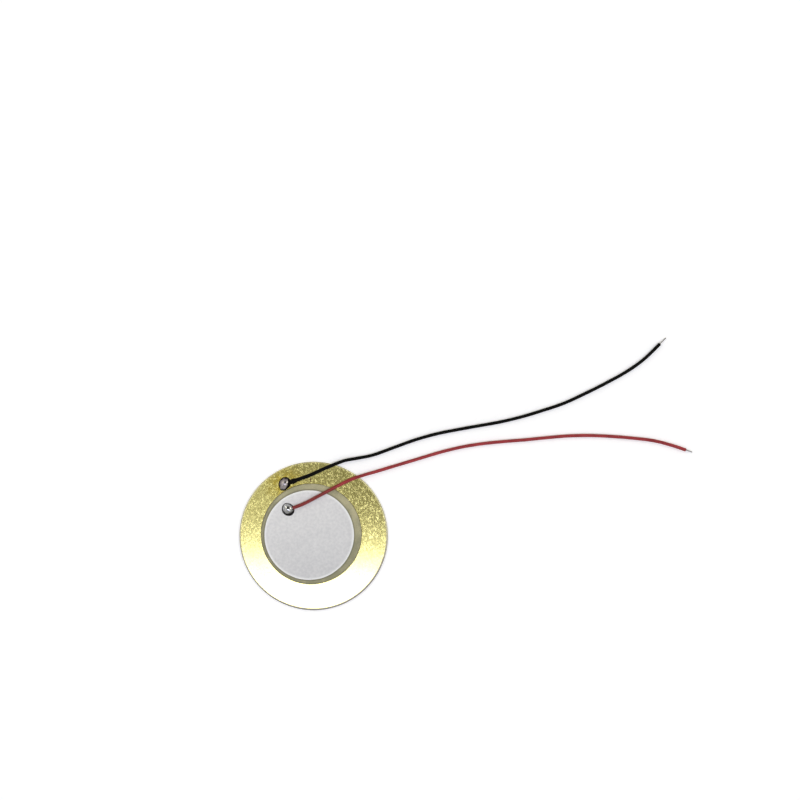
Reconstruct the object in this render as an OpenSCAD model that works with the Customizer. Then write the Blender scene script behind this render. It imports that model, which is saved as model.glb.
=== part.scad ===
// Piezo disc: a brass plate with a silvered piezo-ceramic disc glued to its upper
// face, one lead soldered to the plate and one soldered to the silver.
// The origin is the middle of the plate's underside, and +Z points out of the ceramic.
// Both leads lie on the disc, step down over the plate's rim and lie on the surface
// that the plate rests on, at z = 0.

/* [Brass plate] */
// Diameter of the plate
plate_d = 35; // [30:0.5:50]
// Thickness of the plate
plate_t = 0.3; // [0.15:0.05:0.6]
// Radius of the roll-over that the punch leaves on the plate's upper edge
plate_roll = 0.08; // [0.02:0.01:0.12]

/* [Ceramic disc] */
// Diameter of the ceramic disc
ceramic_d = 23.6; // [18:0.1:28]
// Thickness of the ceramic disc
ceramic_t = 0.2; // [0.1:0.05:0.5]
// Chamfer on the ceramic's upper and lower edges
ceramic_chamfer = 0.03; // [0.01:0.01:0.04]
// Distance of the ceramic's middle from the plate's middle along X
ceramic_x = -0.55; // [-1:0.05:1]
// Distance of the ceramic's middle from the plate's middle along Y
ceramic_y = 0.5; // [-1:0.05:1]

/* [Glue] */
// Thickness of the glue between the plate and the ceramic's back electrode
bond_t = 0.03; // [0.01:0.01:0.1]
// Width of the glue squeezed out past the ceramic's edge
bond_rim = 0.08; // [0.02:0.02:0.2]

/* [Silver electrodes] */
// Mean width of the bare border around the silver on the ceramic's upper face
front_border = 1.25; // [0.9:0.05:3]
// Distance of that silver's middle from the ceramic's middle along X
front_shift_x = -0.5; // [-0.8:0.05:0.8]
// Distance of that silver's middle from the ceramic's middle along Y
front_shift_y = -0.25; // [-0.8:0.05:0.8]
// Width of the bare border around the silver on the ceramic's lower face
back_border = 0.4; // [0.1:0.1:2]
// Thickness of each layer of silver
silver_t = 0.02; // [0.01:0.01:0.05]

/* [Solder joint on the plate] */
// Diameter of the joint's round end
plate_solder_d = 2.8; // [1.5:0.1:3.2]
// Height of the joint above the plate
plate_solder_h = 0.9; // [0.7:0.05:1.3]
// Gap between the joint and the glue at the ceramic's edge
plate_solder_gap = 0.25; // [0.05:0.05:1]
// Direction of the joint from the ceramic's middle, in degrees from +X
plate_solder_turn = 117.5; // [90:0.5:150]
// Diameter of the tail
tail_d = 1.1; // [0.6:0.05:1.4]
// Height of the tail above the plate
tail_h = 0.5; // [0.3:0.05:0.6]
// Gap between the tail and the glue at the ceramic's edge
tail_gap = 0.2; // [0.05:0.05:0.6]
// Turn from the joint to its tail around the ceramic's middle, in degrees
tail_turn = 5; // [3:0.5:8]

/* [Solder joint on the silver] */
// Diameter of the joint
silver_solder_d = 2.95; // [1.5:0.05:3.2]
// Height of the joint above the silver
silver_solder_h = 0.95; // [0.7:0.05:1.4]
// Distance from the silver's edge to the joint
silver_solder_inset = 1.3; // [0.2:0.1:4]
// Direction of the joint from the silver's middle, in degrees from +X
silver_solder_turn = 129.5; // [90:0.5:180]

/* [Leads] */
// Outer diameter of each lead's jacket
lead_d = 0.8; // [0.6:0.05:0.8]
// Diameter of the bundle of strands inside each jacket
wire_d = 0.3; // [0.15:0.05:0.5]
// Length stripped at the soldered end of each lead
root_length = 1.3; // [0.8:0.1:1.6]
// Length stripped at the free end of the black lead
black_tip = 2; // [0:0.1:8]
// Length stripped at the free end of the red lead
red_tip = 1.6; // [0:0.1:8]
// Radial clearance between a bundle of strands and the solder around it
solder_fit = 0.01; // [0.01:0.01:0.05]

/* [Hidden] */
$fn = 96;
hull_fn = 32;
arc_step = 15;
lead_sides = 8;
steps_per_span = 2;

brass_color = [0.80, 0.74, 0.40];
glue_color = [0.52, 0.51, 0.42];
ceramic_color = [0.60, 0.58, 0.46];
silver_color = [0.82, 0.82, 0.82];
solder_color = [0.62, 0.62, 0.63];
black_color = [0.07, 0.07, 0.06];
red_color = [0.64, 0.18, 0.19];
wire_color = [0.66, 0.66, 0.65];

// Heights of the faces, from the surface upwards
silver_back_z = plate_t + bond_t;
ceramic_z = silver_back_z + silver_t;
ceramic_top_z = ceramic_z + ceramic_t;
front_top_z = ceramic_top_z + silver_t;

// Places on the disc
ceramic_at = [ceramic_x, ceramic_y];
front_at = ceramic_at + [front_shift_x, front_shift_y];
front_d = ceramic_d - 2 * front_border;
bond_d = ceramic_d + 2 * bond_rim;
back_d = ceramic_d - 2 * back_border;
plate_solder_reach = bond_d / 2 + plate_solder_gap + plate_solder_d / 2;
plate_solder_at = ceramic_at + plate_solder_reach * heading(plate_solder_turn);
tail_reach = bond_d / 2 + tail_gap + tail_d / 2;
tail_at = ceramic_at + tail_reach * heading(plate_solder_turn + tail_turn);
silver_solder_reach = front_d / 2 - silver_solder_inset - silver_solder_d / 2;
silver_solder_at = front_at + silver_solder_reach * heading(silver_solder_turn);

// Middle of the black lead, from its soldered end to the end of its jacket.
// It lies on the plate as far as the rim, and on the surface beyond x = 14.
black_route = [
    [-5.4, 12.7, 0.7], [-1, 14.3, 0.7], [3, 16.1, 0.7], [7, 17.7, 0.7], [10, 18.3, 0.55],
    [14, 19.1, 0.4], [19, 20.9, 0.4], [24, 22.7, 0.4], [29, 24.1, 0.4], [34, 25.1, 0.4],
    [39, 26, 0.4], [44, 26.9, 0.4], [49, 28.1, 0.4], [54, 29.6, 0.4], [59, 31.3, 0.4],
    [64, 33.6, 0.4], [69, 36.1, 0.4], [74, 38.9, 0.4], [78, 41.8, 0.4], [81.6, 45.3, 0.4]
];
// Middle of the red lead, in the same order. It lies on the silver, bridges the step
// at the ceramic's edge, clears the rim and lies on the surface beyond x = 20.
red_route = [
    [-4.5, 6.8, 0.97], [-2, 7.8, 0.97], [2, 9.9, 0.98], [6, 12, 0.96], [10, 13.8, 0.78],
    [15, 15.3, 0.5], [20, 16.8, 0.4], [25, 18.3, 0.4], [30, 19.8, 0.4], [35, 21, 0.4],
    [40, 21.8, 0.4], [45, 22.3, 0.4], [50, 22.7, 0.4], [55, 23.2, 0.4], [60, 23.6, 0.4],
    [65, 23.7, 0.4], [70, 23.5, 0.4], [75, 23.1, 0.4], [80, 22.5, 0.4], [84, 21.5, 0.4],
    [87.7, 20.3, 0.4]
];
black_path = smooth(black_route);
red_path = smooth(red_route);

// Unit vector in the XY plane at an angle from +X
function heading(turn) = [cos(turn), sin(turn)];

// One coordinate of a smooth curve between b and c, whose neighbours are a and d
function blend(a, b, c, d, t) =
    b + t * (c - a) / 2
    + t * t * (a - 2.5 * b + 2 * c - d / 2)
    + t * t * t * (1.5 * (b - c) + (d - a) / 2);

// Point on a route's span: curved in plan, and straight in height
function route_point(route, span, t) =
    let (
        a = route[max(span - 1, 0)],
        b = route[span],
        c = route[span + 1],
        d = route[min(span + 2, len(route) - 1)]
    )
    [blend(a.x, b.x, c.x, d.x, t), blend(a.y, b.y, c.y, d.y, t), b.z + t * (c.z - b.z)];

// The centres of a lead's rings
function smooth(route) = [
    for (span = [0 : len(route) - 2], step = [0 : steps_per_span - 1])
        route_point(route, span, step / steps_per_span),
    route[len(route) - 1]
];

// Angle from +X at which a path runs past its ring i
function bearing(path, i) =
    let (
        before = path[max(i - 1, 0)],
        after = path[min(i + 1, len(path) - 1)]
    )
    atan2(after.y - before.y, after.x - before.x);

// Radius of the ball whose top is a cap of diameter d and height h
function ball_r(d, h) = (d * d / 4 + h * h) / (2 * h);

// Upright ring of a tube, square to the path, whose flats touch a circle of diameter d
function ring(centre, turn, d) = [
    for (side = [0 : lead_sides - 1])
        let (
            around = (side + 0.5) * 360 / lead_sides,
            reach = d / 2 / cos(180 / lead_sides),
            across = reach * cos(around)
        )
        centre + [-sin(turn) * across, cos(turn) * across, reach * sin(around)]
];

// Tube of diameter d with a ring at each point of a path
module tube(path, d) {
    rings = len(path);
    points = [for (i = [0 : rings - 1]) each ring(path[i], bearing(path, i), d)];
    walls = [
        for (i = [0 : rings - 2], side = [0 : lead_sides - 1])
            let (
                next = (side + 1) % lead_sides,
                here = i * lead_sides,
                there = here + lead_sides
            )
            [here + next, here + side, there + side, there + next]
    ];
    first_end = [for (side = [0 : lead_sides - 1]) side];
    last_end = [for (side = [lead_sides - 1 : -1 : 0]) (rings - 1) * lead_sides + side];
    polyhedron(points, concat(walls, [first_end, last_end]), convexity = 10);
}

// Straight bundle of strands leaving a tube's end at a point, at an angle from +X
module strands(at, turn, length, d) {
    translate(at)
        rotate([0, 90, turn])
            cylinder(h = length, d = d);
}

// Bundle of strands at the soldered end of a path, and the hole that it fills
module root(path, d) {
    strands(path[0], bearing(path, 0) + 180, root_length, d);
}

// Bundle of strands at the free end of a path
module tip(path, length) {
    last = len(path) - 1;
    strands(path[last], bearing(path, last), length, wire_d);
}

// Ball of which a cap of diameter d and height h stands above the XY plane
module cap_ball(d, h) {
    translate([0, 0, h - ball_r(d, h)])
        sphere(r = ball_r(d, h));
}

// Space above the XY plane, as wide and high as a joint of solder can reach
module above(width, height) {
    translate([-width / 2, -width / 2, 0])
        cube([width, width, height]);
}

module brass_plate() {
    roll_edge = [
        for (turn = [0 : arc_step : 90])
            [plate_d / 2 - plate_roll, plate_t - plate_roll] + plate_roll * heading(turn)
    ];
    color(brass_color)
        rotate_extrude()
            polygon(concat([[0, 0], [plate_d / 2, 0]], roll_edge, [[0, plate_t]]));
}

// The glue fills the bare border under the ceramic and stands out past its edge
module bond_film() {
    color(glue_color)
        translate([ceramic_x, ceramic_y, plate_t])
            difference() {
                cylinder(h = bond_t + silver_t, d = bond_d);
                translate([0, 0, bond_t])
                    cylinder(h = 2 * silver_t, d = back_d);
            }
}

module back_electrode() {
    color(silver_color)
        translate([ceramic_x, ceramic_y, silver_back_z])
            cylinder(h = silver_t, d = back_d);
}

module ceramic_disc() {
    edge = ceramic_d / 2;
    inner = edge - ceramic_chamfer;
    color(ceramic_color)
        translate([ceramic_x, ceramic_y, ceramic_z])
            rotate_extrude()
                polygon([
                    [0, 0], [inner, 0], [edge, ceramic_chamfer],
                    [edge, ceramic_t - ceramic_chamfer], [inner, ceramic_t], [0, ceramic_t]
                ]);
}

module front_electrode() {
    color(silver_color)
        translate([front_at.x, front_at.y, ceramic_top_z])
            cylinder(h = silver_t, d = front_d);
}

// A round dome that draws out into a low tail
module plate_solder() {
    color(solder_color)
        difference() {
            intersection() {
                hull() {
                    translate([plate_solder_at.x, plate_solder_at.y, plate_t])
                        cap_ball(plate_solder_d, plate_solder_h, $fn = hull_fn);
                    translate([tail_at.x, tail_at.y, plate_t])
                        cap_ball(tail_d, tail_h, $fn = hull_fn);
                }
                translate([plate_solder_at.x, plate_solder_at.y, plate_t])
                    above(4 * (plate_solder_d + tail_d), 2 * plate_solder_h);
            }
            root(black_path, wire_d + 2 * solder_fit);
        }
}

module silver_solder() {
    color(solder_color)
        difference() {
            translate([silver_solder_at.x, silver_solder_at.y, front_top_z])
                intersection() {
                    cap_ball(silver_solder_d, silver_solder_h);
                    above(2 * silver_solder_d, 2 * silver_solder_h);
                }
            root(red_path, wire_d + 2 * solder_fit);
        }
}

module black_lead() {
    color(black_color)
        tube(black_path, lead_d);
}

module red_lead() {
    color(red_color)
        tube(red_path, lead_d);
}

// The two bare ends of the strands that run through a lead
module bare_ends(path, tip_length) {
    color(wire_color) {
        root(path, wire_d);
        if (tip_length > 0) tip(path, tip_length);
    }
}

module black_wire() {
    bare_ends(black_path, black_tip);
}

module red_wire() {
    bare_ends(red_path, red_tip);
}

brass_plate();
bond_film();
back_electrode();
ceramic_disc();
front_electrode();
plate_solder();
silver_solder();
black_lead();
red_lead();
black_wire();
red_wire();
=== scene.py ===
"""The looks of a piezo disc: a silvered ceramic glued to a brass plate, with two soldered leads.

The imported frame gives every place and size. Lengths are in metres, and patterns are worked out in
millimetres. Turns are angles seen from above, from +X round through +Y.
"""

import math
from functools import partial
from typing import NamedTuple

import bpy
from bpy.props import FloatProperty, FloatVectorProperty, PointerProperty
from mathutils import Matrix, Vector


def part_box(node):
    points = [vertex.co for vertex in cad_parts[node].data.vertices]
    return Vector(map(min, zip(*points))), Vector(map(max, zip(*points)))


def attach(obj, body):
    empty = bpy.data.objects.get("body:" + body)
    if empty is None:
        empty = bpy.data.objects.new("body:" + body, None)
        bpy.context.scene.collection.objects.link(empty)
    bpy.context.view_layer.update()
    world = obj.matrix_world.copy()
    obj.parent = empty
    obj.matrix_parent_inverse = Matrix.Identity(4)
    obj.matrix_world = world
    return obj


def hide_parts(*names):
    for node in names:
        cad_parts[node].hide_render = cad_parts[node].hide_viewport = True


bl_info = {
    "name": "Piezo disc",
    "version": (1, 0, 0),
    "blender": (4, 5, 0),
    "location": "3D View > Sidebar > Piezo disc",
    "description": "Finishes a piezo disc: brass plate, silvered ceramic, solder joints and leads",
    "category": "Add Mesh",
}

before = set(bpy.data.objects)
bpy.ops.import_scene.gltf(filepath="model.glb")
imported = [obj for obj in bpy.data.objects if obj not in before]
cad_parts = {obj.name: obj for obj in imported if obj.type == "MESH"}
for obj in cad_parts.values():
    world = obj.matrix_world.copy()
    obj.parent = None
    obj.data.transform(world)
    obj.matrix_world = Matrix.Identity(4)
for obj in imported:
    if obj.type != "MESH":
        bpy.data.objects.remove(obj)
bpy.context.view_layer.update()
MM = 0.001
COOL_LIGHT, WARM_LIGHT = "#DADDFF", "#FFFCE4"

PLATE_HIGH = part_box("brass_plate")[1]
CERAMIC_LOW, CERAMIC_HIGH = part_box("ceramic_disc")
GLUE_LOW, GLUE_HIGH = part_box("bond_film")
BACK_LOW, BACK_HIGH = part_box("back_electrode")
PRINT_LOW, PRINT_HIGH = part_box("front_electrode")
PLATE_JOINT_LOW, PLATE_JOINT_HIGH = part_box("plate_solder")
SILVER_JOINT_LOW, SILVER_JOINT_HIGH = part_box("silver_solder")

CERAMIC_MIDDLE = (CERAMIC_LOW + CERAMIC_HIGH) / 2
GLUE_MIDDLE = (GLUE_LOW + GLUE_HIGH) / 2
PRINT_MIDDLE = (PRINT_LOW + PRINT_HIGH) / 2
CERAMIC_RADIUS = (CERAMIC_HIGH.x - CERAMIC_LOW.x) / 2
GLUE_RADIUS = (GLUE_HIGH.x - GLUE_LOW.x) / 2
BACK_RADIUS = (BACK_HIGH.x - BACK_LOW.x) / 2
PRINT_RADIUS = (PRINT_HIGH.x - PRINT_LOW.x) / 2

# The plate's joint has a tail towards -Y, so its round top's middle is found from its other sides.
PLATE_JOINT_RADIUS = 1.4 * MM
PLATE_JOINT_TOP = PLATE_JOINT_HIGH - Vector((PLATE_JOINT_RADIUS, PLATE_JOINT_RADIUS, 0))

# The two leads as they lie, from their joints to the cut ends of their jackets.
BLACK_ROUTE = (
    (-0.0054, 0.0127, 0.0007), (-0.001, 0.0143, 0.0007), (0.003, 0.0161, 0.0007),
    (0.007, 0.0177, 0.0007), (0.010, 0.0183, 0.00055), (0.014, 0.0191, 0.0004),
    (0.019, 0.0209, 0.0004), (0.024, 0.0227, 0.0004), (0.029, 0.0241, 0.0004),
    (0.034, 0.0251, 0.0004), (0.039, 0.026, 0.0004), (0.044, 0.0269, 0.0004),
    (0.049, 0.0281, 0.0004), (0.054, 0.0296, 0.0004), (0.059, 0.0313, 0.0004),
    (0.064, 0.0336, 0.0004), (0.069, 0.0361, 0.0004), (0.074, 0.0389, 0.0004),
    (0.078, 0.0418, 0.0004), (0.0816, 0.0453, 0.0004),
)
RED_ROUTE = (
    (-0.0045, 0.0068, 0.00097), (-0.002, 0.0078, 0.00097), (0.002, 0.0099, 0.00098),
    (0.006, 0.012, 0.00096), (0.010, 0.0138, 0.00078), (0.015, 0.0153, 0.0005),
    (0.020, 0.0168, 0.0004), (0.025, 0.0183, 0.0004), (0.030, 0.0198, 0.0004),
    (0.035, 0.021, 0.0004), (0.040, 0.0218, 0.0004), (0.045, 0.0223, 0.0004),
    (0.050, 0.0227, 0.0004), (0.055, 0.0232, 0.0004), (0.060, 0.0236, 0.0004),
    (0.065, 0.0237, 0.0004), (0.070, 0.0235, 0.0004), (0.075, 0.0231, 0.0004),
    (0.080, 0.0225, 0.0004), (0.084, 0.0215, 0.0004), (0.0877, 0.0203, 0.0004),
)

# How far each joint reaches from its middle, in millimetres, every 30 degrees of turn.
PLATE_JOINT_REACH = (1.46, 1.50, 1.48, 1.40, 1.32, 1.34, 1.44, 1.57, 1.88, 1.78, 1.46, 1.43)
SILVER_JOINT_REACH = (1.50, 1.47, 1.47, 1.56, 1.66, 1.58, 1.46, 1.44, 1.43, 1.48, 1.56, 1.56)

# How far along a lead the iron's heat has thickened it, and how far it rests flat on the disc.
THICKENED_LENGTH = 14 * MM
RESTING_LENGTH = 12 * MM
# How far a lead's strands run inside its jacket, at either end, and into the solder.
STRANDS_INSIDE = 0.75 * MM
STRANDS_IN_SOLDER = 1.2 * MM


class Lead(NamedTuple):
    """What sets one lead apart from the other."""

    name: str
    node: str
    route: tuple
    rests_on: float  # The height of what its soldered end lies on.
    caught: float  # How far the solder has caught its jacket's end.
    thickened: float  # How wide the heat has left its start, as a share of its own width.
    bare_tip: float  # How far its strands stand out of its cut end.
    finish: str
    shine: float  # Its jacket's specular level.


BLACK_LEAD = Lead(
    name="black_jacket", node="black_lead", route=BLACK_ROUTE, rests_on=PLATE_HIGH.z, caught=0.0,
    thickened=1.17, bare_tip=2.0 * MM, finish="Black PVC jacket", shine=0.05,
)
RED_LEAD = Lead(
    name="red_jacket", node="red_lead", route=RED_ROUTE, rests_on=PRINT_HIGH.z, caught=0.35 * MM,
    thickened=1.03, bare_tip=1.6 * MM, finish="Red PVC jacket", shine=0.25,
)


def linear(hex_colour):
    """Turns an sRGB hex colour into the linear colour that shaders take, with full alpha."""
    parts = [int(hex_colour[i : i + 2], 16) / 255 for i in (1, 3, 5)]
    parts = [p / 12.92 if p <= 0.04045 else ((p + 0.055) / 1.055) ** 2.4 for p in parts]
    return (*parts, 1.0)


def length_property(name, description, default, low, high):
    """A length that a user may change, in metres."""
    return FloatProperty(
        name=name, description=description, default=default, min=low, max=high, precision=5,
        unit="LENGTH", subtype="DISTANCE",
    )


def colour_property(name, description, hex_colour):
    """A colour that a user may change."""
    return FloatVectorProperty(
        name=name, description=description, default=linear(hex_colour), min=0.0, max=1.0, size=4,
        subtype="COLOR",
    )


class PiezoSizes(bpy.types.PropertyGroup):
    """Sizes of the looks, in metres. The frame holds the part's own sizes."""

    jacket_diameter: length_property(
        "Jacket diameter", "Outer diameter of a lead's insulation", 0.00078, 0.0006, 0.0009
    )
    jacket_bore: length_property(
        "Jacket bore", "Hole in the cut end of a lead's insulation", 0.00036, 0.0003, 0.0005
    )
    melted_width: length_property(
        "Melted width", "Width of the black jacket where heat swelled it", 0.00134, 0.0008, 0.0014
    )
    melted_length: length_property(
        "Melted length", "Length of the black jacket's swollen part", 0.0013, 0.0005, 0.003
    )
    strand_diameter: length_property(
        "Strand diameter", "Diameter of each of a lead's seven strands", 0.0001, 0.00005, 0.00012
    )
    strand_lay: length_property(
        "Strand lay", "Length in which the strands make one turn", 0.0045, 0.002, 0.02
    )
    glue_waver: length_property(
        "Glue waver", "How far the squeezed-out glue's edge wanders", 0.00005, 0.0, 0.0001
    )
    print_waver: length_property(
        "Print waver", "How far the silver print's edge wanders", 0.00004, 0.0, 0.0001
    )
    print_ridge: length_property(
        "Print ridge", "Height of the ridge along the ink's edge", 0.000008, 0.0, 0.00002
    )
    brass_grain: length_property(
        "Brass grain", "Width of the dimples that rolling leaves", 0.00038, 0.0001, 0.001
    )
    floor_radius: length_property(
        "Floor radius", "Radius of the pale floor before it rises", 3.0, 1.0, 5.0
    )


class PiezoColours(bpy.types.PropertyGroup):
    """Colours of the looks."""

    brass: colour_property("Brass", "Clean rolled brass", "#F0E690")
    brass_tarnish: colour_property("Brass tarnish", "Brass that dirt has dulled", "#ABA05C")
    brass_heat: colour_property("Heat tint", "Brass that the soldering iron has warmed", "#C6AE36")
    silver: colour_property("Silver print", "Fired silver ink", "#EDECEA")
    silver_thin: colour_property("Thin silver print", "Silver ink where it lies thin", "#CECECE")
    ceramic: colour_property("Ceramic", "Fired piezo ceramic", "#BDB68F")
    ceramic_dark: colour_property("Dark ceramic", "Ceramic in its darker clouds", "#928F6F")
    glue: colour_property("Glue", "Cured glue", "#DCD29C")
    solder: colour_property("Solder", "Bright tin solder", "#C0C0C3")
    solder_dull: colour_property("Dull solder", "Solder that cooled slowly on the plate", "#B9B1B6")
    solder_oxide: colour_property("Solder oxide", "Oxide skin on the plate's joint", "#958B91")
    # Painted dark reflection at a joint's foot; the strands at the plate's joint take this tone too.
    solder_foot: colour_property("Solder foot", "Flux burnt on at a joint's foot", "#1B1817")
    black_jacket: colour_property("Black jacket", "Black PVC", "#0A0A08")
    red_jacket: colour_property("Red jacket", "Red PVC", "#AD3C3F")
    red_dark: colour_property("Dark red", "Darker streaks in the red PVC", "#892B2E")
    tin: colour_property("Tinned wire", "Tinned copper strands", "#BDBBB8")
    floor: colour_property("Floor", "Pale floor", "#F4F4F4")


# --- Meshes ---


def deselect_all():
    """Leaves nothing selected, so that the next operator acts on its own piece alone."""
    bpy.ops.object.select_all(action="DESELECT")
    bpy.context.view_layer.objects.active = None


def start_face(name, centre, radius, corners):
    """One round face that looks up, from which a closed piece is pulled."""
    deselect_all()
    bpy.ops.mesh.primitive_circle_add(
        vertices=corners, radius=radius, fill_type="NGON", location=centre
    )
    piece = bpy.context.object
    piece.name = piece.data.name = name
    bpy.ops.object.transform_apply(location=True, rotation=True, scale=True)
    return piece


def pull_rings(piece, centre, rings):
    """Pulls the piece's face through rings, each a height and a width as a share of the face's."""
    bpy.ops.object.mode_set(mode="EDIT")
    bpy.ops.mesh.select_mode(type="FACE")
    bpy.ops.mesh.select_all(action="SELECT")
    height, share = centre.z, 1.0
    for next_height, next_share in rings:
        bpy.ops.mesh.extrude_region_move(
            TRANSFORM_OT_translate={"value": (0, 0, next_height - height)}
        )
        step = next_share / share
        bpy.ops.transform.resize(value=(step, step, 1), center_override=centre)
        height, share = next_height, next_share
    bpy.ops.object.mode_set(mode="OBJECT")


def reach_at(reach, turn):
    """The outline's reach at a turn in radians, on a smooth curve through its values."""
    place = (turn / math.tau % 1.0) * len(reach)
    first = int(place)
    a, b, c, d = (reach[(first + k) % len(reach)] for k in (-1, 0, 1, 2))
    return smooth_between(a, b, c, d, place - first)


def smooth_between(a, b, c, d, t):
    """A smooth curve through b and c, which follows the lines of their neighbours a and d."""
    return b + 0.5 * t * (c - a + t * (2 * a - 5 * b + 4 * c - d + t * (3 * (b - c) + d - a)))


def waver(turn, phase):
    """A slow uneven wave from about -1 to 1 round a rim, the same at every run."""
    slow = 0.40 * math.sin(3 * turn + phase) + 0.25 * math.sin(5 * turn + 2.3 * phase)
    quicker = slow + 0.20 * math.sin(11 * turn + 4.1 * phase)
    return quicker + 0.15 * math.sin(23 * turn + 0.7 * phase)


def move_rim(piece, centre, radius, push):
    """Moves the corners at the radius outwards by push(turn), and those nearer less."""
    still = 0.9  # The share of the radius inside which nothing moves.
    for corner in piece.data.vertices:
        out = Vector((corner.co.x - centre.x, corner.co.y - centre.y))
        share = min(1.0, max(0.0, (out.length / radius - still) / 0.1))
        if share > 0:
            shift = out.normalized() * push(math.atan2(out.y, out.x)) * share
            corner.co.x += shift.x
            corner.co.y += shift.y


def finish_piece(piece, material, replaced, sharp=40):
    """Gives a finished mesh its shading, finish, slot and place in the frame."""
    deselect_all()
    piece.select_set(True)
    bpy.context.view_layer.objects.active = piece
    bpy.ops.object.shade_smooth_by_angle(angle=math.radians(sharp))
    piece.data.materials.clear()
    piece.data.materials.append(material)
    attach(piece, "root")
    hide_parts(replaced)


def lead_line(route, steps):
    """The middle of a lead: smooth through its route, and easing in height from point to point."""
    ends = [Vector(p) for p in (route[0], *route, route[-1])]
    line = []
    for a, b, c, d in zip(ends, ends[1:], ends[2:], ends[3:]):
        for step in range(steps):
            t = step / steps
            point = smooth_between(a, b, c, d, t)
            point.z = b.z + (c.z - b.z) * t * t * (3 - 2 * t)
            line.append(point)
    return [*line, ends[-1]]


def tube_along(name, lines, radii, sides, closed):
    """A mesh of round tubes, one along each line, with a UV map that runs along and around them."""
    deselect_all()
    curve = bpy.data.curves.new(name, "CURVE")
    curve.dimensions = "3D"
    curve.twist_mode = "Z_UP"
    curve.bevel_depth = MM  # So that a point's radius counts in millimetres.
    curve.bevel_resolution = sides // 2 - 2
    curve.use_fill_caps = closed
    for line, widths in zip(lines, radii):
        spline = curve.splines.new("POLY")
        spline.points.add(len(line) - 1)
        for point, place, radius in zip(spline.points, line, widths):
            point.co = (*place, 1.0)
            point.radius = radius / MM
    piece = bpy.data.objects.new(name, curve)
    bpy.context.scene.collection.objects.link(piece)
    piece.select_set(True)
    bpy.context.view_layer.objects.active = piece
    bpy.ops.object.convert(target="MESH")
    piece = bpy.context.object
    piece.data.name = name
    return piece


def cut_end(piece, centre, inward, bore_share, depth):
    """Makes a tube's open end a cut end: the wall's flat face, and the bore, closed further in."""
    around = 1.2 * MM  # Wide enough for the open end, and too narrow for the tube's other end.
    mesh = piece.data
    uses = {}
    for face in mesh.polygons:
        for key in face.edge_keys:
            uses[key] = uses.get(key, 0) + 1
    for group in (mesh.vertices, mesh.edges, mesh.polygons):
        group.foreach_set("select", [False] * len(group))
    ring = [
        e
        for e in mesh.edges
        if uses.get(tuple(sorted(e.vertices))) == 1
        and all((mesh.vertices[v].co - centre).length < around for v in e.vertices)
    ]
    if not ring:
        raise RuntimeError(f"{piece.name} has no open end at {tuple(centre)}")
    for edge in ring:
        edge.select = True
    for number in {v for e in ring for v in e.vertices}:
        mesh.vertices[number].select = True
    bpy.ops.object.mode_set(mode="EDIT")
    bpy.ops.mesh.select_mode(type="EDGE")
    bpy.ops.mesh.extrude_edges_move(TRANSFORM_OT_translate={"value": (0, 0, 0)})
    bpy.ops.transform.resize(value=(bore_share,) * 3, center_override=centre)
    bpy.ops.mesh.extrude_edges_move(TRANSFORM_OT_translate={"value": inward * depth})
    bpy.ops.mesh.edge_face_add()
    bpy.ops.object.mode_set(mode="OBJECT")


def point_outwards(piece):
    """Makes the faces of a closed mesh look outwards."""
    bpy.ops.object.mode_set(mode="EDIT")
    bpy.ops.mesh.select_all(action="SELECT")
    bpy.ops.mesh.normals_make_consistent(inside=False)
    bpy.ops.object.mode_set(mode="OBJECT")


# --- Finishes ---


def add_node(tree, kind, inputs=None, out=0, **settings):
    """Adds a node with its settings and links, and gives its output called out, or all for None.

    Each input is a value, or another node's output to link, and goes by its name or number. A Map
    Range node's are 0 its value, 1 and 2 what that runs between, and 3 and 4 what it becomes. A Mix
    node's are 0 the share, and what it mixes: numbers 2 and 3, or colours 6 and 7.
    """
    made = tree.nodes.new("ShaderNode" + kind)
    for name, value in settings.items():
        setattr(made, name, value)
    for socket, value in (inputs or {}).items():
        if isinstance(value, bpy.types.NodeSocket):
            tree.links.new(value, made.inputs[socket])
        else:
            made.inputs[socket].default_value = value
    return made.outputs if out is None else made.outputs[out]


def start_finish(name):
    """A new material with nothing in its node tree, and add_node for that tree."""
    material = bpy.data.materials.new(name)
    material.use_nodes = True
    material.node_tree.nodes.clear()
    return material, partial(add_node, material.node_tree)


def in_millimetres(add):
    """The place on the piece in millimetres, as a vector output."""
    place = add("TexCoord", out="Object")
    return add("VectorMath", {0: place, 1: (1 / MM,) * 3}, operation="MULTIPLY")


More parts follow.
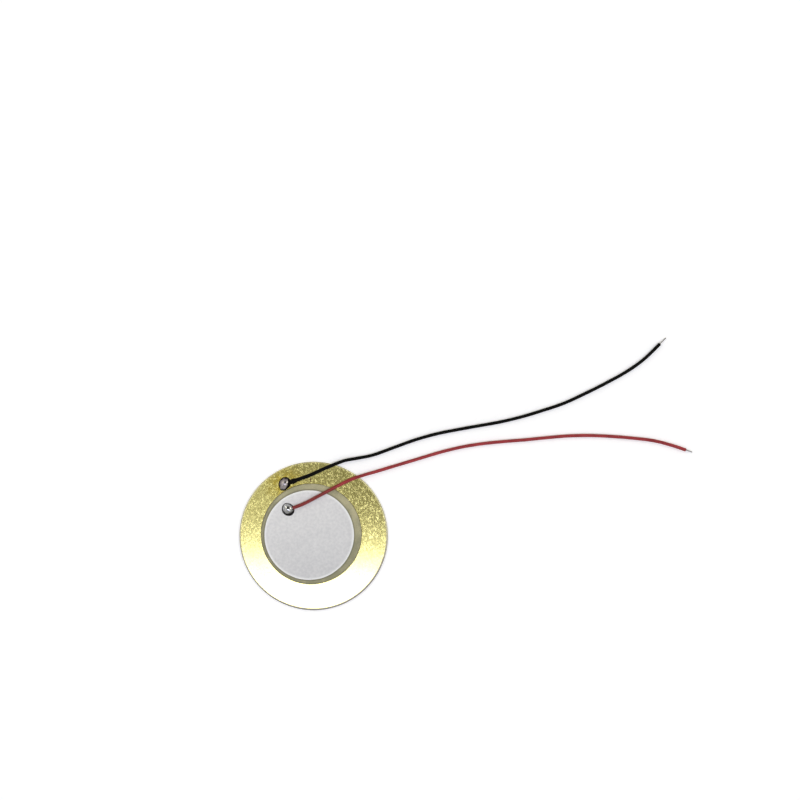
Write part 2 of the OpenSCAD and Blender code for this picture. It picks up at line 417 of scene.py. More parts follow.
def rolled_brass(colours, sizes):
    """Rolled brass sheet, punched to a disc and touched in handling.

    Rolling leaves shallow dimples, drawn a little coarse so that they show, which break a
    reflection into sparks. The iron's heat has tinted it round the joint, and its underside is
    stained in bands and scratched.
    """
    material, add = start_finish("Rolled brass sheet")
    place = in_millimetres(add)
    grain = sizes.brass_grain / MM
    joint = PLATE_JOINT_TOP / MM
    rim, top = PLATE_HIGH.x / MM, PLATE_HIGH.z / MM

    flat = add("VectorMath", {0: place, 1: (1, 1, 0)}, operation="MULTIPLY")
    out = add("VectorMath", {0: flat}, operation="LENGTH", out="Value")
    parts = add("SeparateXYZ", {0: place}, out=None)

    # Dimples: round ones all over, and longer ones that lean to the left towards the right side.
    dimples = add(
        "TexNoise", {"Vector": place, "Scale": 1 / grain, "Detail": 1.5, "Roughness": 0.5}
    )
    leans, long = (0, 0, math.radians(112)), (1.9 * grain, grain, grain)
    leaning = add(
        "Mapping", {"Vector": place, "Rotation": leans, "Scale": long}, vector_type="TEXTURE"
    )
    strokes = add("TexNoise", {"Vector": leaning, "Scale": 1.0, "Detail": 1.5, "Distortion": 0.3})
    side = add("MapRange", {0: parts[0], 1: -8.0, 2: 8.0, 3: 0.2, 4: 0.55})
    relief = add("Mix", {0: side, 2: dimples, 3: strokes})
    depth = add("VectorMath", {0: flat, 1: (0.3, 0.95, 0)}, operation="DOT_PRODUCT", out="Value")
    depth = add("MapRange", {0: depth, 1: -1.0, 2: 14.0, 3: 0.52, 4: 1.05})
    relief = add("Mix", {0: depth, 2: 0.5, 3: relief})
    bump = add("Bump", {"Strength": 1.0, "Distance": 0.0013 * MM, "Height": relief})

    # The high spots are scuffed and catch light from all round, and the low ones hold dirt.
    scuffed = add("MapRange", {0: relief, 1: 0.50, 2: 0.68})
    dirt = add("MapRange", {0: relief, 1: 0.40, 2: 0.60, 3: 0.6, 4: 0.0})
    clouds = add("TexNoise", {"Vector": place, "Scale": 0.33, "Detail": 4.0})
    clouds = add("MapRange", {0: clouds, 1: 0.42, 2: 0.65, 3: 0.0, 4: 0.35})
    dulled = add("Math", {0: dirt, 1: clouds}, operation="MAXIMUM")

    # Heat tint, patchy, within about 4 mm of the joint.
    from_joint = add(
        "VectorMath", {0: flat, 1: (joint.x, joint.y, 0)}, operation="DISTANCE", out="Value"
    )
    warmth = add("MapRange", {0: from_joint, 1: 1.6, 2: 5.5, 3: 0.85, 4: 0.0})
    patches = add("TexNoise", {"Vector": place, "Scale": 0.8, "Detail": 2.0})
    patches = add("MapRange", {0: patches, 1: 0.36, 2: 0.60, 3: 0.35, 4: 1.0})
    tinted = add("Math", {0: warmth, 1: patches}, operation="MULTIPLY")

    # A small burnt drip of flux beside the black lead.
    drip_place, leans = (-0.74, 13.25, top), (0, 0, math.radians(12))
    drip = add(
        "Mapping",
        {"Vector": place, "Location": drip_place, "Rotation": leans, "Scale": (0.2, 0.6, 0.1)},
        vector_type="TEXTURE",
    )
    drip = add("VectorMath", {0: drip}, operation="LENGTH", out="Value")
    drip = add("MapRange", {0: drip, 1: 0.5, 2: 1.0, 3: 0.8, 4: 0.0})

    # Underneath: dull bands about 5 mm apart that lean with the roll, and long fine scratches.
    under = add("MapRange", {0: parts[2], 1: 0.05, 2: 0.10, 3: 1.0, 4: 0.0})
    bands = add(
        "Mapping",
        {"Vector": place, "Rotation": (0, 0, math.radians(-14)), "Scale": (16.0, 4.5, 4.5)},
        vector_type="TEXTURE",
    )
    bands = add("TexNoise", {"Vector": bands, "Scale": 1.0, "Detail": 3.0})
    bands = add("MapRange", {0: bands, 1: 0.44, 2: 0.60, 3: 0.0, 4: 0.75})
    bands = add("Math", {0: bands, 1: under}, operation="MULTIPLY")
    scratches = add(
        "Mapping",
        {"Vector": place, "Rotation": (0, 0, math.radians(68)), "Scale": (11.0, 0.10, 1.0)},
        vector_type="TEXTURE",
    )
    scratches = add(
        "TexNoise", {"Vector": scratches, "Scale": 1.0, "Detail": 1.0, "Distortion": 0.2}
    )
    scratches = add("MapRange", {0: scratches, 1: 0.68, 2: 0.74, 3: 0.0, 4: 0.6})
    scratches = add("Math", {0: scratches, 1: under}, operation="MULTIPLY")

    # The punched edge is rougher than the face. Its grey band is painted dark reflection and painted
    # shade, wider towards +X and -Y and darkest towards -Y.
    rim_shade_reach = add("VectorMath", {0: flat, 1: (0.5, -0.87, 0)}, operation="DOT_PRODUCT", out="Value")
    rim_shade_reach = add("MapRange", {0: rim_shade_reach, 1: 2.0, 2: 14.0, 3: 0.0, 4: 0.125})
    edge = add("Math", {0: out, 1: rim_shade_reach}, operation="ADD")
    edge = add("MapRange", {0: edge, 1: rim - 0.34, 2: rim - 0.27, 3: 0.0, 4: 0.95})
    rim_shade_side = add("MapRange", {0: parts[1], 1: -10.0, 2: 18.0, 3: 1.0, 4: 0.3})
    edge = add("Math", {0: edge, 1: rim_shade_side}, operation="MULTIPLY")

    colour = colours.brass
    for share, tone in (
        (dulled, colours.brass_tarnish),
        (tinted, colours.brass_heat),
        (drip, linear("#7A3B22")),
        (bands, linear("#AC9D52")),
        (scratches, linear("#F5EFB4")),
        # The rim's painted dark reflection and shade.
        (edge, linear("#88857A")),
    ):
        colour = add("Mix", {0: share, 6: colour, 7: tone}, data_type="RGBA", out=2)
    roughness = add("MapRange", {0: scuffed, 3: 0.105, 4: 0.22})
    roughness = add("Mix", {0: edge, 2: roughness, 3: 0.5})
    shader = add(
        "BsdfPrincipled",
        {"Base Color": colour, "Metallic": 1.0, "Roughness": roughness, "Normal": bump},
    )
    add("OutputMaterial", {"Surface": shader}, out=None)
    return material


def fired_silver(colours):
    """Silver ink, screen printed on the ceramic and fired.

    It scatters light almost like paper, with soft clouds where the ink lies thicker, fine specks,
    and a slightly paler ridge along its edge. Painted light makes it paler towards +Y.
    """
    material, add = start_finish("Fired silver ink")
    place = in_millimetres(add)
    radius = PRINT_RADIUS / MM
    # Clouds about 4.5 mm wide and specks of 0.7 mm.
    clouds = add("TexNoise", {"Vector": place, "Scale": 0.22, "Detail": 3.0, "Roughness": 0.6})
    specks = add("TexNoise", {"Vector": place, "Scale": 1.5, "Detail": 4.0})
    mottle = add("MapRange", {0: specks, 1: 0.34, 2: 0.66})
    height = add("VectorMath", {0: place, 1: (-0.3, 0.95, 0)}, operation="DOT_PRODUCT", out="Value")
    # Painted light: the print is paler towards +Y and a little towards -X.
    lit_side_gradient = add("MapRange", {0: height, 1: -radius, 2: radius})
    # Thick mixes the ink's clouds and specks with that painted light.
    thick = add("Mix", {0: 0.62, 2: clouds, 3: lit_side_gradient})
    thick = add("Mix", {0: 0.26, 2: thick, 3: mottle})
    thick = add("MapRange", {0: thick, 1: 0.15, 2: 0.85})
    out = add("VectorMath", {0: place, 1: PRINT_MIDDLE / MM}, operation="DISTANCE", out="Value")
    ridge = add("MapRange", {0: out, 1: radius - 0.6, 2: radius - 0.15, 3: 0.0, 4: 0.8})
    colour = colours.silver_thin
    for share, tone in ((thick, colours.silver), (ridge, linear("#FBFBF9"))):
        colour = add("Mix", {0: share, 6: colour, 7: tone}, data_type="RGBA", out=2)
    bump = add("Bump", {"Strength": 0.5, "Distance": 0.01 * MM, "Height": specks})
    shader = add(
        "BsdfPrincipled", {"Base Color": colour, "Metallic": 0.15, "Roughness": 0.6, "Normal": bump}
    )
    add("OutputMaterial", {"Surface": shader}, out=None)
    return material


def fired_ceramic(colours):
    """Lead zirconate titanate ceramic, pressed, fired and lapped flat.

    A dull khaki stone with faint clouds and a fine grain. Painted shade darkens its sharp edge,
    most towards -X and -Y, and a ring just outside the silver, and painted light makes it paler
    towards +Y.
    """
    material, add = start_finish("Lapped piezo ceramic")
    place = in_millimetres(add)
    centre, radius = CERAMIC_MIDDLE / MM, CERAMIC_RADIUS / MM
    ink, ink_radius = PRINT_MIDDLE / MM, PRINT_RADIUS / MM
    # Clouds about 3.5 mm wide, and grains drawn 0.2 mm wide so that they show.
    clouds = add("TexNoise", {"Vector": place, "Scale": 0.28, "Detail": 3.0})
    grains = add("TexNoise", {"Vector": place, "Scale": 5.0, "Detail": 2.0})
    cloudy = add("Mix", {0: 0.3, 2: clouds, 3: grains})
    # Painted light: the ceramic is a little paler towards +Y.
    paler = add("VectorMath", {0: place, 1: (0.25, 0.97, 0)}, operation="DOT_PRODUCT", out="Value")
    paler = add("MapRange", {0: paler, 1: -radius, 2: radius, 3: 0.08, 4: -0.08})
    cloudy = add("Math", {0: cloudy, 1: paler}, operation="ADD")
    cloudy = add("MapRange", {0: cloudy, 1: 0.36, 2: 0.60})
    flat = add("VectorMath", {0: place, 1: (1, 1, 0)}, operation="MULTIPLY")
    out = add(
        "VectorMath", {0: flat, 1: (centre.x, centre.y, 0)}, operation="DISTANCE", out="Value"
    )
    # Painted shade along the sharp edge, most towards -X and -Y.
    edge = add("MapRange", {0: out, 1: radius - 0.38, 2: radius - 0.12, 3: 0.0, 4: 0.6})
    edge_shade_side = add(
        "VectorMath", {0: place, 1: (-0.8, -0.6, 0)}, operation="DOT_PRODUCT", out="Value"
    )
    edge_shade_side = add("MapRange", {0: edge_shade_side, 1: -3.0, 2: 6.0, 3: 0.1, 4: 1.0})
    edge = add("Math", {0: edge, 1: edge_shade_side}, operation="MULTIPLY")
    # Painted shade in a ring just outside the silver's edge.
    from_ink = add("VectorMath", {0: flat, 1: (ink.x, ink.y, 0)}, operation="DISTANCE", out="Value")
    beside = add(
        "MapRange", {0: from_ink, 1: ink_radius + 0.14, 2: ink_radius + 0.44, 3: 0.75, 4: 0.0}
    )
    dark = add("Math", {0: edge, 1: beside}, operation="MAXIMUM")
    colour = colours.ceramic
    for share, tone in ((cloudy, colours.ceramic_dark), (dark, linear("#6E6C52"))):
        colour = add("Mix", {0: share, 6: colour, 7: tone}, data_type="RGBA", out=2)
    bump = add("Bump", {"Strength": 0.4, "Distance": 0.006 * MM, "Height": grains})
    shader = add("BsdfPrincipled", {"Base Color": colour, "Roughness": 0.55, "Normal": bump})
    add("OutputMaterial", {"Surface": shader}, out=None)
    return material


def cured_glue(colours):
    """Thin glue, squeezed out from under the ceramic and cured glossy.

    It is darker next to the ceramic, pale at its foot, and has dust caught in it.
    """
    material, add = start_finish("Cured clear glue")
    place = in_millimetres(add)
    ceramic = CERAMIC_RADIUS / MM
    out = add("VectorMath", {0: place, 1: GLUE_MIDDLE / MM}, operation="DISTANCE", out="Value")
    # Darker next to the ceramic, fading out by 0.18 mm from its edge.
    thick = add("MapRange", {0: out, 1: ceramic + 0.08, 2: ceramic + 0.18, 3: 1.0, 4: 0.0})
    # Dust in specks of 0.6 mm.
    dust = add("TexNoise", {"Vector": place, "Scale": 1.6, "Detail": 3.0})
    dust = add("MapRange", {0: dust, 1: 0.40, 2: 0.65})
    colour = colours.glue
    for share, tone in ((dust, linear("#B0A676")), (thick, linear("#766E46"))):
        colour = add("Mix", {0: share, 6: colour, 7: tone}, data_type="RGBA", out=2)
    roughness = add("MapRange", {0: dust, 3: 0.12, 4: 0.3})
    shader = add("BsdfPrincipled", {"Base Color": colour, "Roughness": roughness, "IOR": 1.5})
    add("OutputMaterial", {"Surface": shader}, out=None)
    return material


def reflowed_solder(
    name, tones, centre, height, gloss, skin_gloss, foot_reflection_share, foot_reflection_side, foot_reflection_rise, top_reflection
):
    """Tin solder, melted on with an iron and frozen as a drop.

    Tones are its top, its flank and its foot, which a painted dark reflection darkens up to
    foot_reflection_share of its height. Where the iron left last, on the right and in front, it is
    glossy, and elsewhere a skin of oxide dulls it. A painted dark reflection near the top is given
    by its place and radius.

    The painted foot leans towards foot_reflection_side. Foot_reflection_rise says how much higher
    it stands before that climb and after it, and how far from the middle the climb starts and ends.
    """
    material, add = start_finish(name)
    place = in_millimetres(add)
    foot = centre.z / MM
    up = add("SeparateXYZ", {0: place}, out=2)
    from_middle = add("VectorMath", {0: place, 1: centre / MM}, operation="SUBTRACT")
    # The skin froze in wrinkles 0.5 mm apart.
    wrinkles = add("TexNoise", {"Vector": place, "Scale": 1.9, "Detail": 3.0, "Roughness": 0.55})
    uneven = add("MapRange", {0: wrinkles, 1: 0.3, 2: 0.7, 3: -0.12, 4: 0.12})
    side = add("VectorMath", {0: from_middle, 1: foot_reflection_side}, operation="DOT_PRODUCT", out="Value")
    before, after, start, end = foot_reflection_rise
    climbed = add("MapRange", {0: side, 1: start, 2: end, 3: -before, 4: -after})
    uneven = add("Math", {0: uneven, 1: climbed}, operation="ADD")
    level = add("Math", {0: up, 1: uneven}, operation="ADD")
    # Burnt is a painted dark reflection that darkens the foot.
    fades, ends = foot + 0.35 * foot_reflection_share * height, foot + foot_reflection_share * height
    burnt = add(
        "MapRange", {0: level, 1: fades, 2: ends, 3: 1.0, 4: 0.0}, interpolation_type="SMOOTHSTEP"
    )
    # A painted dark reflection near the top joins it.
    top_reflection_x, top_reflection_y, top_reflection_radius = top_reflection
    from_top_reflection = add("VectorMath", {0: from_middle, 1: (1, 1, 0)}, operation="MULTIPLY")
    from_top_reflection = add(
        "VectorMath", {0: from_top_reflection, 1: (top_reflection_x, top_reflection_y, 0)}, operation="DISTANCE", out="Value"
    )
    in_top_reflection = add("MapRange", {0: from_top_reflection, 1: 0.4 * top_reflection_radius, 2: top_reflection_radius, 3: 0.85, 4: 0.0})
    burnt = add("Math", {0: burnt, 1: in_top_reflection}, operation="MAXIMUM")
    flank = add(
        "MapRange", {0: up, 1: foot + 0.56 * height, 2: foot + 0.82 * height, 3: 1.0, 4: 0.0}
    )
    glossy = add(
        "VectorMath", {0: from_middle, 1: (0.75, -0.65, 0)}, operation="DOT_PRODUCT", out="Value"
    )
    skin = add("MapRange", {0: glossy, 1: -0.30, 2: 0.12, 3: 1.0, 4: 0.0})
    flank = add("Math", {0: flank, 1: skin}, operation="MULTIPLY")
    skin = add("Mix", {0: skin, 2: gloss, 3: skin_gloss})
    colour, flank_tone, foot_tone = tones
    for share, tone in ((flank, flank_tone), (burnt, foot_tone)):
        colour = add("Mix", {0: share, 6: colour, 7: tone}, data_type="RGBA", out=2)
    roughness = add("Mix", {0: burnt, 2: skin, 3: 0.28})
    bump = add("Bump", {"Strength": 1.0, "Distance": 0.03 * MM, "Height": wrinkles})
    shader = add(
        "BsdfPrincipled",
        {"Base Color": colour, "Metallic": 1.0, "Roughness": roughness, "Normal": bump},
    )
    add("OutputMaterial", {"Surface": shader}, out=None)
    return material


def drawn_pvc(name, plain, streak, scorched, along, around, shine):
    """Soft PVC, extruded over the strands.

    The die leaves fine lines along the lead, and handling leaves slow changes of gloss and tone.
    The iron's heat and flux have darkened the first centimetre.
    """
    material, add = start_finish(name)
    on_jacket = add("TexCoord", out="UV")
    measured = add(
        "VectorMath", {0: on_jacket, 1: (along / MM, around / MM, 0)}, operation="MULTIPLY"
    )
    # Die lines 0.16 mm apart and 6 mm long, and marks of handling 2.4 mm long.
    lines = add("Mapping", {"Vector": measured, "Scale": (6.0, 0.16, 1.0)}, vector_type="TEXTURE")
    lines = add("TexNoise", {"Vector": lines, "Scale": 1.0, "Detail": 2.0})
    slow = add("Mapping", {"Vector": measured, "Scale": (2.4, 1.2, 1.0)}, vector_type="TEXTURE")
    slow = add("TexNoise", {"Vector": slow, "Scale": 1.0, "Detail": 3.0})
    streaks = add("Mix", {0: 0.5, 2: lines, 3: slow})
    streaks = add("MapRange", {0: streaks, 1: 0.40, 2: 0.62})
    travelled = add("SeparateXYZ", {0: measured})
    warmed = add("MapRange", {0: travelled, 1: 10.0, 2: 15.0, 3: 0.75, 4: 0.0})
    colour = plain
    for share, tone in ((streaks, streak), (warmed, scorched)):
        colour = add("Mix", {0: share, 6: colour, 7: tone}, data_type="RGBA", out=2)
    roughness = add("MapRange", {0: slow, 1: 0.3, 2: 0.7, 3: 0.34, 4: 0.5})
    bump = add("Bump", {"Strength": 0.6, "Distance": 0.01 * MM, "Height": lines})
    shader = add(
        "BsdfPrincipled",
        {"Base Color": colour, "Roughness": roughness, "Specular IOR Level": shine, "Normal": bump},
    )
    add("OutputMaterial", {"Surface": shader}, out=None)
    return material


def tinned_copper(colours):
    """Copper strands, tinned by drawing through molten tin.

    They are grey, duller in spots from fingers, and burnt dark by flux at the plate's joint.
    """
    material, add = start_finish("Tinned copper strands")
    place = in_millimetres(add)
    # Duller spots of 0.3 mm.
    spots = add("TexNoise", {"Vector": place, "Scale": 3.0, "Detail": 2.0})
    spots = add("MapRange", {0: spots, 1: 0.40, 2: 0.65})
    from_joint = add(
        "VectorMath", {0: place, 1: PLATE_JOINT_TOP / MM}, operation="DISTANCE", out="Value"
    )
    burnt = add("MapRange", {0: from_joint, 1: 2.2, 2: 3.2, 3: 1.0, 4: 0.0})
    colour = colours.tin
    for share, tone in ((spots, linear("#8F8A84")), (burnt, colours.solder_foot)):
        colour = add("Mix", {0: share, 6: colour, 7: tone}, data_type="RGBA", out=2)
    roughness = add("MapRange", {0: spots, 3: 0.28, 4: 0.45})
    shader = add("BsdfPrincipled", {"Base Color": colour, "Metallic": 1.0, "Roughness": roughness})
    add("OutputMaterial", {"Surface": shader}, out=None)
    return material


def pale_floor(colours):
    """A matt white sheet, which looks white directly and mirrored, but keeps the part's shadow."""
    material, add = start_finish("Matt white sheet")
    place = add("TexCoord", out="Object")
    out = add("VectorMath", {0: place}, operation="LENGTH", out="Value")
    far = add("MapRange", {0: out, 1: 0.22, 2: 0.6})
    rays = add("LightPath", out=None)
    seen = add("Math", {0: rays["Is Camera Ray"], 1: rays["Is Glossy Ray"]}, operation="ADD")
    seen = add("Math", {0: seen, 1: rays["Is Transmission Ray"]}, operation="ADD", use_clamp=True)
    lit = add("BsdfDiffuse", {"Color": colours.floor})
    bright = add("BsdfDiffuse", {"Color": (1, 1, 1, 1)})
    lift = add("Emission", {"Color": (1, 1, 1, 1), "Strength": 0.19})
    near = add("AddShader", {0: bright, 1: lift})
    white = add("Emission", {"Color": (1, 1, 1, 1), "Strength": 1.0})
    shown = add("MixShader", {0: far, 1: near, 2: white})
    surface = add("MixShader", {0: seen, 1: lit, 2: shown})
    add("OutputMaterial", {"Surface": surface}, out=None)
    return material


# --- Light ---


def hang_panel(name, turn, lean, wide, tall, glow, tint="#FFFFFF"):
    """A soft light panel, 1.5 m away.

    Lean is how far it is from straight up, wide and tall are degrees seen from the part, and glow
    is its brightness, where 1 is white.
    """
    distance = 1.5
    turn, lean = math.radians(turn), math.radians(lean)
    out = Vector((math.sin(lean) * math.cos(turn), math.sin(lean) * math.sin(turn), math.cos(lean)))
    across = Vector((-math.sin(turn), math.cos(turn), 0))
    down = out.cross(across)
    light = bpy.data.lights.new(name, "AREA")
    light.shape = "RECTANGLE"
    light.size = 2 * distance * math.tan(math.radians(wide / 2))
    light.size_y = 2 * distance * math.tan(math.radians(tall / 2))
    light.energy = glow * math.pi * light.size * light.size_y
    light.color = linear(tint)[:3]
    panel = bpy.data.objects.new(name, light)
    turned = Matrix((across, down, out)).transposed().to_4x4()
    panel.matrix_world = Matrix.Translation(out * distance) @ turned
    panel.visible_camera = False
    bpy.context.scene.collection.objects.link(panel)


def pale_room():
    """A room with a grey ceiling and paler walls, which the metal mirrors from the sides."""
    world = bpy.data.worlds.new("Pale room")
    world.use_nodes = True
    world.node_tree.nodes.clear()
    add = partial(add_node, world.node_tree)
    way = add("TexCoord", out="Generated")
    up = add("SeparateXYZ", {0: way}, out=2)
    glow = add("MapRange", {0: up, 1: 0.60, 2: 0.88, 3: 0.52, 4: 0.30})
    room = add("Background", {"Color": linear("#FFFEF6"), "Strength": glow})
    add("OutputWorld", {"Surface": room}, out=None)
    return world


# --- Operators ---


class PIEZO_OT_set_stage(bpy.types.Operator):
    """Lay the pale floor, hang the light panels and set up the camera"""

    bl_idname = "piezo.set_stage"
    bl_label = "Set the stage"

    def execute(self, context):
        scene = context.scene
        scene.view_settings.view_transform = "Standard"
        radius = scene.piezo_sizes.floor_radius
        floor = start_face("floor", Vector((0, 0, 0)), radius, corners=128)
        # Far out the floor curves up in steps, each this much wider and this many metres higher.
        steps = ((1.08, 0.03), (1.06, 0.10), (1.03, 0.15), (1.01, 0.25))
        bpy.ops.object.mode_set(mode="EDIT")
        bpy.ops.mesh.select_mode(type="EDGE")
        bpy.ops.mesh.select_all(action="SELECT")
        for share, rise in steps:
            bpy.ops.mesh.extrude_edges_move(TRANSFORM_OT_translate={"value": (0, 0, rise)})
            bpy.ops.transform.resize(value=(share, share, 1), center_override=(0, 0, 0))
        bpy.ops.object.mode_set(mode="OBJECT")
        bpy.ops.object.shade_smooth()
        floor.data.materials.append(pale_floor(scene.piezo_colours))

        # Each panel's turn, lean, width, height, glow and tint.
        hang_panel("front_panel", 267, 15.3, 26, 16, 5.9, COOL_LIGHT)
        hang_panel("front_fringe", 236, 7.2, 15, 4.4, 0.34)
        hang_panel("front_left_panel", 194, 43, 42, 34, 0.4)
        hang_panel("front_right_panel", 325, 38, 30, 26, 1.2)
        hang_panel("left_panel", 142, 53, 22, 38, 1.95, WARM_LIGHT)
        hang_panel("right_panel", 21, 61, 30, 26, 1.9, WARM_LIGHT)
        scene.world = pale_room()

        lens = bpy.data.cameras.new("camera")
        lens.lens = 60
        lens.sensor_width = 36
        camera = bpy.data.objects.new("camera", lens)
        camera.location = (0.02036, 0.03207, 0.31463)
        scene.collection.objects.link(camera)
        scene.camera = camera
        return {"FINISHED"}


def lay_lead(lead, sizes, tones, end_width):
    """Tones are the jacket's own, its streaks' and its scorched end's. Heat has thickened its start,
    and swollen its very end to end_width.
    """
    line = lead_line(lead.route, steps=8)
    line[0] = line[0] + (line[0] - line[1]).normalized() * lead.caught
    plain = sizes.jacket_diameter / 2
    thickened = plain * lead.thickened
    travelled, widths = 0.0, []
    for number, point in enumerate(line):
        if number:
            travelled += (point - line[number - 1]).length
        # A hump at the very end, a long taper behind it, and a faint ripple from the die.
        swell = max(0.0, 1 - (2.2 * travelled / sizes.melted_length - 0.9) ** 2)
        slow = max(0.0, 1 - travelled / THICKENED_LENGTH)
        ripple = 0.012 * math.sin(travelled / MM * 0.9) + 0.008 * math.sin(travelled / MM * 2.3 + 1)
        thick = plain + (thickened - plain) * slow
        widths.append((thick + (end_width / 2 - thick) * swell) * (1 + ripple))
    piece = tube_along(lead.name, [line], [widths], sides=20, closed=False)
    bore = sizes.jacket_bore / sizes.jacket_diameter
    cut_end(piece, line[0], (line[1] - line[0]).normalized(), bore, depth=0.5 * MM)
    cut_end(piece, line[-1], (line[-2] - line[-1]).normalized(), bore, depth=0.8 * MM)
    # The melted part rests flat, a hair above what it lies on, and the rest on the floor.
    for corner in piece.data.vertices:
        near = (corner.co - line[0]).length < RESTING_LENGTH
        corner.co.z = max(corner.co.z, lead.rests_on + 0.002 * MM if near else 0.0)
    point_outwards(piece)
    around = math.pi * sizes.jacket_diameter
    finish = drawn_pvc(lead.finish, *tones, travelled, around, lead.shine)
    finish_piece(piece, finish, lead.node, sharp=50)
    strands = lay_strands(lead, sizes, line)


def lay_strands(lead, sizes, line):
    """The seven twisted strands of a lead, bare at its cut end and where they enter the solder."""
    last = 24  # Steps along each strand.
    lines, widths = [], []
    for start, way, reach in (
        (line[0], (line[0] - line[1]).normalized(), STRANDS_IN_SOLDER),
        (line[-1], (line[-1] - line[-2]).normalized(), lead.bare_tip),
    ):
        side = way.cross(Vector((0, 0, 1))).normalized()
        up = side.cross(way)
        length = STRANDS_INSIDE + reach
        for strand in range(7):
            path = []
            for step in range(last + 1):
                far = length * step / last
                turn = math.tau * (far / sizes.strand_lay + strand / 6)
                # Six strands wind round the seventh, and part a little towards their ends.
                spread = sizes.strand_diameter * (1 + 0.10 * (step / last) ** 3)
                spread = 0.0 if strand == 6 else spread
                around = side * math.cos(turn) + up * math.sin(turn)
                path.append(start + way * (far - STRANDS_INSIDE) + around * spread)
            # Each strand was cut at a slightly different length.
            keep = last + 1 - (strand * 5) % 3
            lines.append(path[:keep])
            widths.append([sizes.strand_diameter / 2] * keep)
    name = lead.name.replace("jacket", "strands")
    piece = tube_along(name, lines, widths, sides=10, closed=True)
    point_outwards(piece)
    finish = tinned_copper(bpy.context.scene.piezo_colours)
    finish_piece(piece, finish, lead.node.replace("lead", "wire"), sharp=50)
    return piece


class PIEZO_OT_lay_leads(bpy.types.Operator):
    """Lay the black and the red jacket along their routes"""

    bl_idname = "piezo.lay_leads"
    bl_label = "Lay the leads"

    def execute(self, context):
        sizes, colours = context.scene.piezo_sizes, context.scene.piezo_colours
        black = (colours.black_jacket, linear("#12110F"), linear("#0C0B08"))
        red = (colours.red_jacket, colours.red_dark, linear("#7C302C"))
        lay_lead(BLACK_LEAD, sizes, black, sizes.melted_width)
        lay_lead(RED_LEAD, sizes, red, 1.04 * sizes.jacket_diameter)
        return {"FINISHED"}


class PIEZO_OT_finish_plate(bpy.types.Operator):
    """Give the brass plate, the ceramic and its back silver their finishes"""

    bl_idname = "piezo.finish_plate"
    bl_label = "Finish the plate and ceramic"

    def execute(self, context):
        sizes, colours = context.scene.piezo_sizes, context.scene.piezo_colours
        for node, finish in (
            ("brass_plate", rolled_brass(colours, sizes)),
            ("ceramic_disc", fired_ceramic(colours)),
            ("back_electrode", fired_silver(colours)),
        ):
            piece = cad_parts[node]
            piece.data.materials.clear()
            piece.data.materials.append(finish)
        return {"FINISHED"}


class PIEZO_OT_squeeze_glue(bpy.types.Operator):
    """Make the glue film with the uneven bead that it squeezes out round the ceramic"""

    bl_idname = "piezo.squeeze_glue"
    bl_label = "Squeeze out the glue"

    def execute(self, context):
        sizes, colours = context.scene.piezo_sizes, context.scene.piezo_colours
        centre = GLUE_MIDDLE.copy()
        centre.z = PLATE_HIGH.z
        # The bead climbs the ceramic's edge, and the back silver lies in a well in the film.
        profile = (
            (PLATE_HIGH.z + 0.020 * MM, GLUE_RADIUS),
            (PLATE_HIGH.z + 0.060 * MM, GLUE_RADIUS - 0.035 * MM),
            (PLATE_HIGH.z + 0.100 * MM, CERAMIC_RADIUS + 0.012 * MM),
            (PLATE_HIGH.z + 0.115 * MM, CERAMIC_RADIUS + 0.002 * MM),
            (CERAMIC_LOW.z, CERAMIC_RADIUS),
            (CERAMIC_LOW.z, BACK_RADIUS),
            (BACK_LOW.z, BACK_RADIUS),
        )
        piece = start_face("glue_bead", centre, GLUE_RADIUS, corners=256)
        pull_rings(piece, centre, [(height, radius / GLUE_RADIUS) for height, radius in profile])
        # Its edge wanders about a line a little outside the film's own.
        reach, outside = sizes.glue_waver, 0.6
        move_rim(piece, centre, GLUE_RADIUS, lambda turn: reach * (outside + waver(turn, 1.7)))
        finish_piece(piece, cured_glue(colours), "bond_film")
        return {"FINISHED"}


class PIEZO_OT_print_silver(bpy.types.Operator):
    """Print the front silver, with an uneven edge and the ridge that the ink leaves along it"""

    bl_idname = "piezo.print_silver"
    bl_label = "Print the silver"

    def execute(self, context):
        sizes, colours = context.scene.piezo_sizes, context.scene.piezo_colours
        centre = PRINT_MIDDLE.copy()
        centre.z = PRINT_LOW.z
        top, radius = PRINT_HIGH.z, PRINT_RADIUS
        # Each ring's height, and how far it is in from the edge.
        profile = (
            (PRINT_LOW.z + 0.008 * MM, 0.005 * MM),
            (top - 0.003 * MM, 0.03 * MM),
            (top + sizes.print_ridge, 0.12 * MM),
            (top + sizes.print_ridge, 0.28 * MM),
            (top, 0.6 * MM),
        )
        rings = [(height, (radius - inset) / radius) for height, inset in profile]
        piece = start_face("silver_print", centre, radius, corners=384)
        pull_rings(piece, centre, [*rings, (top, 0.8)])
        reach = sizes.print_waver
        move_rim(piece, centre, radius, lambda turn: reach * waver(turn, 0.6))
        finish_piece(piece, fired_silver(colours), "front_electrode", sharp=60)
        return {"FINISHED"}


def solder_drop(name, centre, reach, height, lean, fullness):
    """A drop of solder with the outline given by reach, a small flare at its foot and a round top.

    Its top is off its middle by lean. A fullness of 2 is as round as a bowl, and less is more
    pointed.
    """
    piece = start_face(name, centre, radius=MM, corners=72)
    for corner in piece.data.vertices:
        out = corner.co - centre
        corner.co = centre + out * reach_at(reach, math.atan2(out.y, out.x))
    rings = [(centre.z + 0.015 * MM, 0.985), (centre.z + 0.045 * height, 0.965)]
    for step in range(1, 19):
        share = math.cos(math.radians(14 + 75 * step / 18))
        rings.append((centre.z + height * (1 - share**fullness), share))
    pull_rings(piece, centre, rings)
    for corner in piece.data.vertices:
        corner.co += Vector(lean) * (corner.co.z - centre.z) / height
    return piece


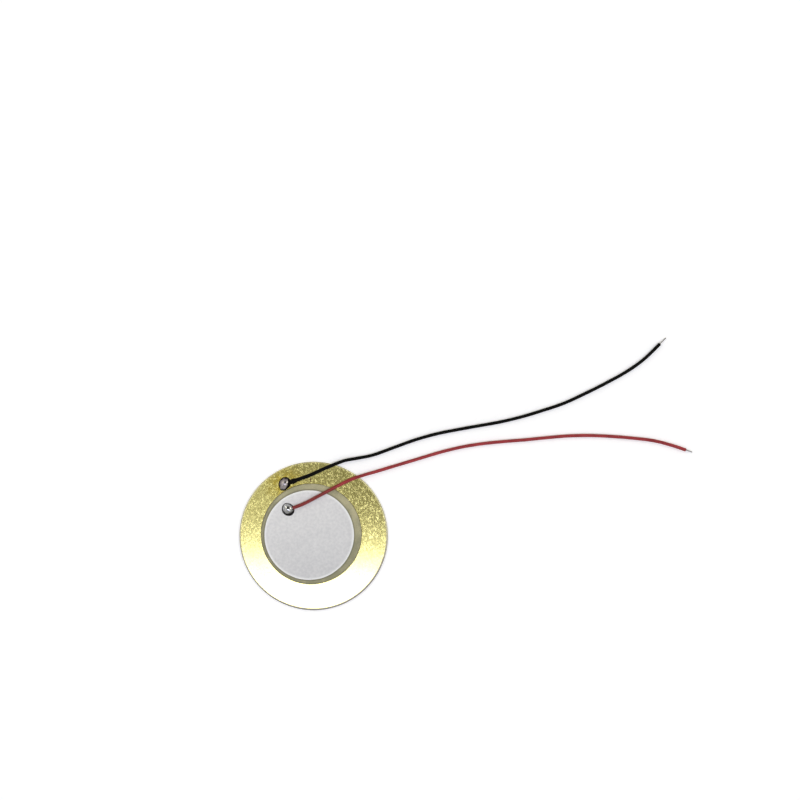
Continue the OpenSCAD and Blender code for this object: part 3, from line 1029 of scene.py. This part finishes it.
class PIEZO_OT_melt_joints(bpy.types.Operator):
    """Make the two drops of solder that hold the leads"""

    bl_idname = "piezo.melt_joints"
    bl_label = "Melt the solder joints"

    def execute(self, context):
        colours = context.scene.piezo_colours
        foot_tone = colours.solder_foot
        centre = PLATE_JOINT_TOP.copy()
        centre.z = PLATE_JOINT_LOW.z
        height = PLATE_JOINT_HIGH.z - PLATE_JOINT_LOW.z
        lean = (-0.08 * MM, -0.14 * MM, 0)
        piece = solder_drop("plate_joint", centre, PLATE_JOINT_REACH, height, lean, fullness=1.65)
        finish = reflowed_solder(
            "Dull tin solder",
            (colours.solder_dull, colours.solder_oxide, foot_tone),
            centre,
            height / MM,
            gloss=0.12,
            skin_gloss=0.48,
            # The last four set its painted dark reflections, at the foot and near the top.
            foot_reflection_share=0.52,
            foot_reflection_side=(0.98, -0.2, 0),
            foot_reflection_rise=(0, 0.5, 0.5, 0.9),
            top_reflection=(0.15, 0.26, 0.32),
        )
        finish_piece(piece, finish, "plate_solder", sharp=60)

        centre = (SILVER_JOINT_LOW + SILVER_JOINT_HIGH) / 2
        centre.z = SILVER_JOINT_LOW.z
        height = SILVER_JOINT_HIGH.z - SILVER_JOINT_LOW.z
        lean = (0, 0.17 * MM, 0)
        piece = solder_drop("silver_joint", centre, SILVER_JOINT_REACH, height, lean, fullness=2)
        finish = reflowed_solder(
            "Bright tin solder",
            (colours.solder, colours.solder, foot_tone),
            centre,
            height / MM,
            gloss=0.07,
            skin_gloss=0.07,
            # The last four set its painted dark reflections, at the foot and near the top.
            foot_reflection_share=0.72,
            foot_reflection_side=(0.17, -0.98, 0),
            foot_reflection_rise=(-0.25, 0.25, -1.4, 1.4),
            top_reflection=(0.04, 0.54, 0.42),
        )
        finish_piece(piece, finish, "silver_solder", sharp=60)
        return {"FINISHED"}


class PIEZO_PT_disc(bpy.types.Panel):
    """The steps that finish the piezo disc, with its sizes and colours"""

    bl_idname = "PIEZO_PT_disc"
    bl_label = "Piezo disc"
    bl_space_type = "VIEW_3D"
    bl_region_type = "UI"
    bl_category = "Piezo disc"

    def draw(self, context):
        layout = self.layout
        for step in STEPS:
            layout.operator(step.bl_idname)
        for group in (context.scene.piezo_sizes, context.scene.piezo_colours):
            box = layout.box()
            for name in group.__annotations__:
                box.prop(group, name)


STEPS = (
    PIEZO_OT_set_stage,
    PIEZO_OT_lay_leads,
    PIEZO_OT_finish_plate,
    PIEZO_OT_squeeze_glue,
    PIEZO_OT_print_silver,
    PIEZO_OT_melt_joints,
)
CLASSES = (PiezoSizes, PiezoColours, *STEPS, PIEZO_PT_disc)


def register():
    """Registers the classes and hangs the sizes and colours on the scene."""
    for item in CLASSES:
        bpy.utils.register_class(item)
    bpy.types.Scene.piezo_sizes = PointerProperty(type=PiezoSizes)
    bpy.types.Scene.piezo_colours = PointerProperty(type=PiezoColours)


def unregister():
    """Takes away what register added."""
    del bpy.types.Scene.piezo_colours
    del bpy.types.Scene.piezo_sizes
    for item in reversed(CLASSES):
        bpy.utils.unregister_class(item)


def main():
    """Builds the scene."""
    register()
    bpy.ops.piezo.set_stage()
    bpy.ops.piezo.lay_leads()
    bpy.ops.piezo.finish_plate()
    bpy.ops.piezo.squeeze_glue()
    bpy.ops.piezo.print_silver()
    bpy.ops.piezo.melt_joints()


if __name__ == "__main__":
    main()
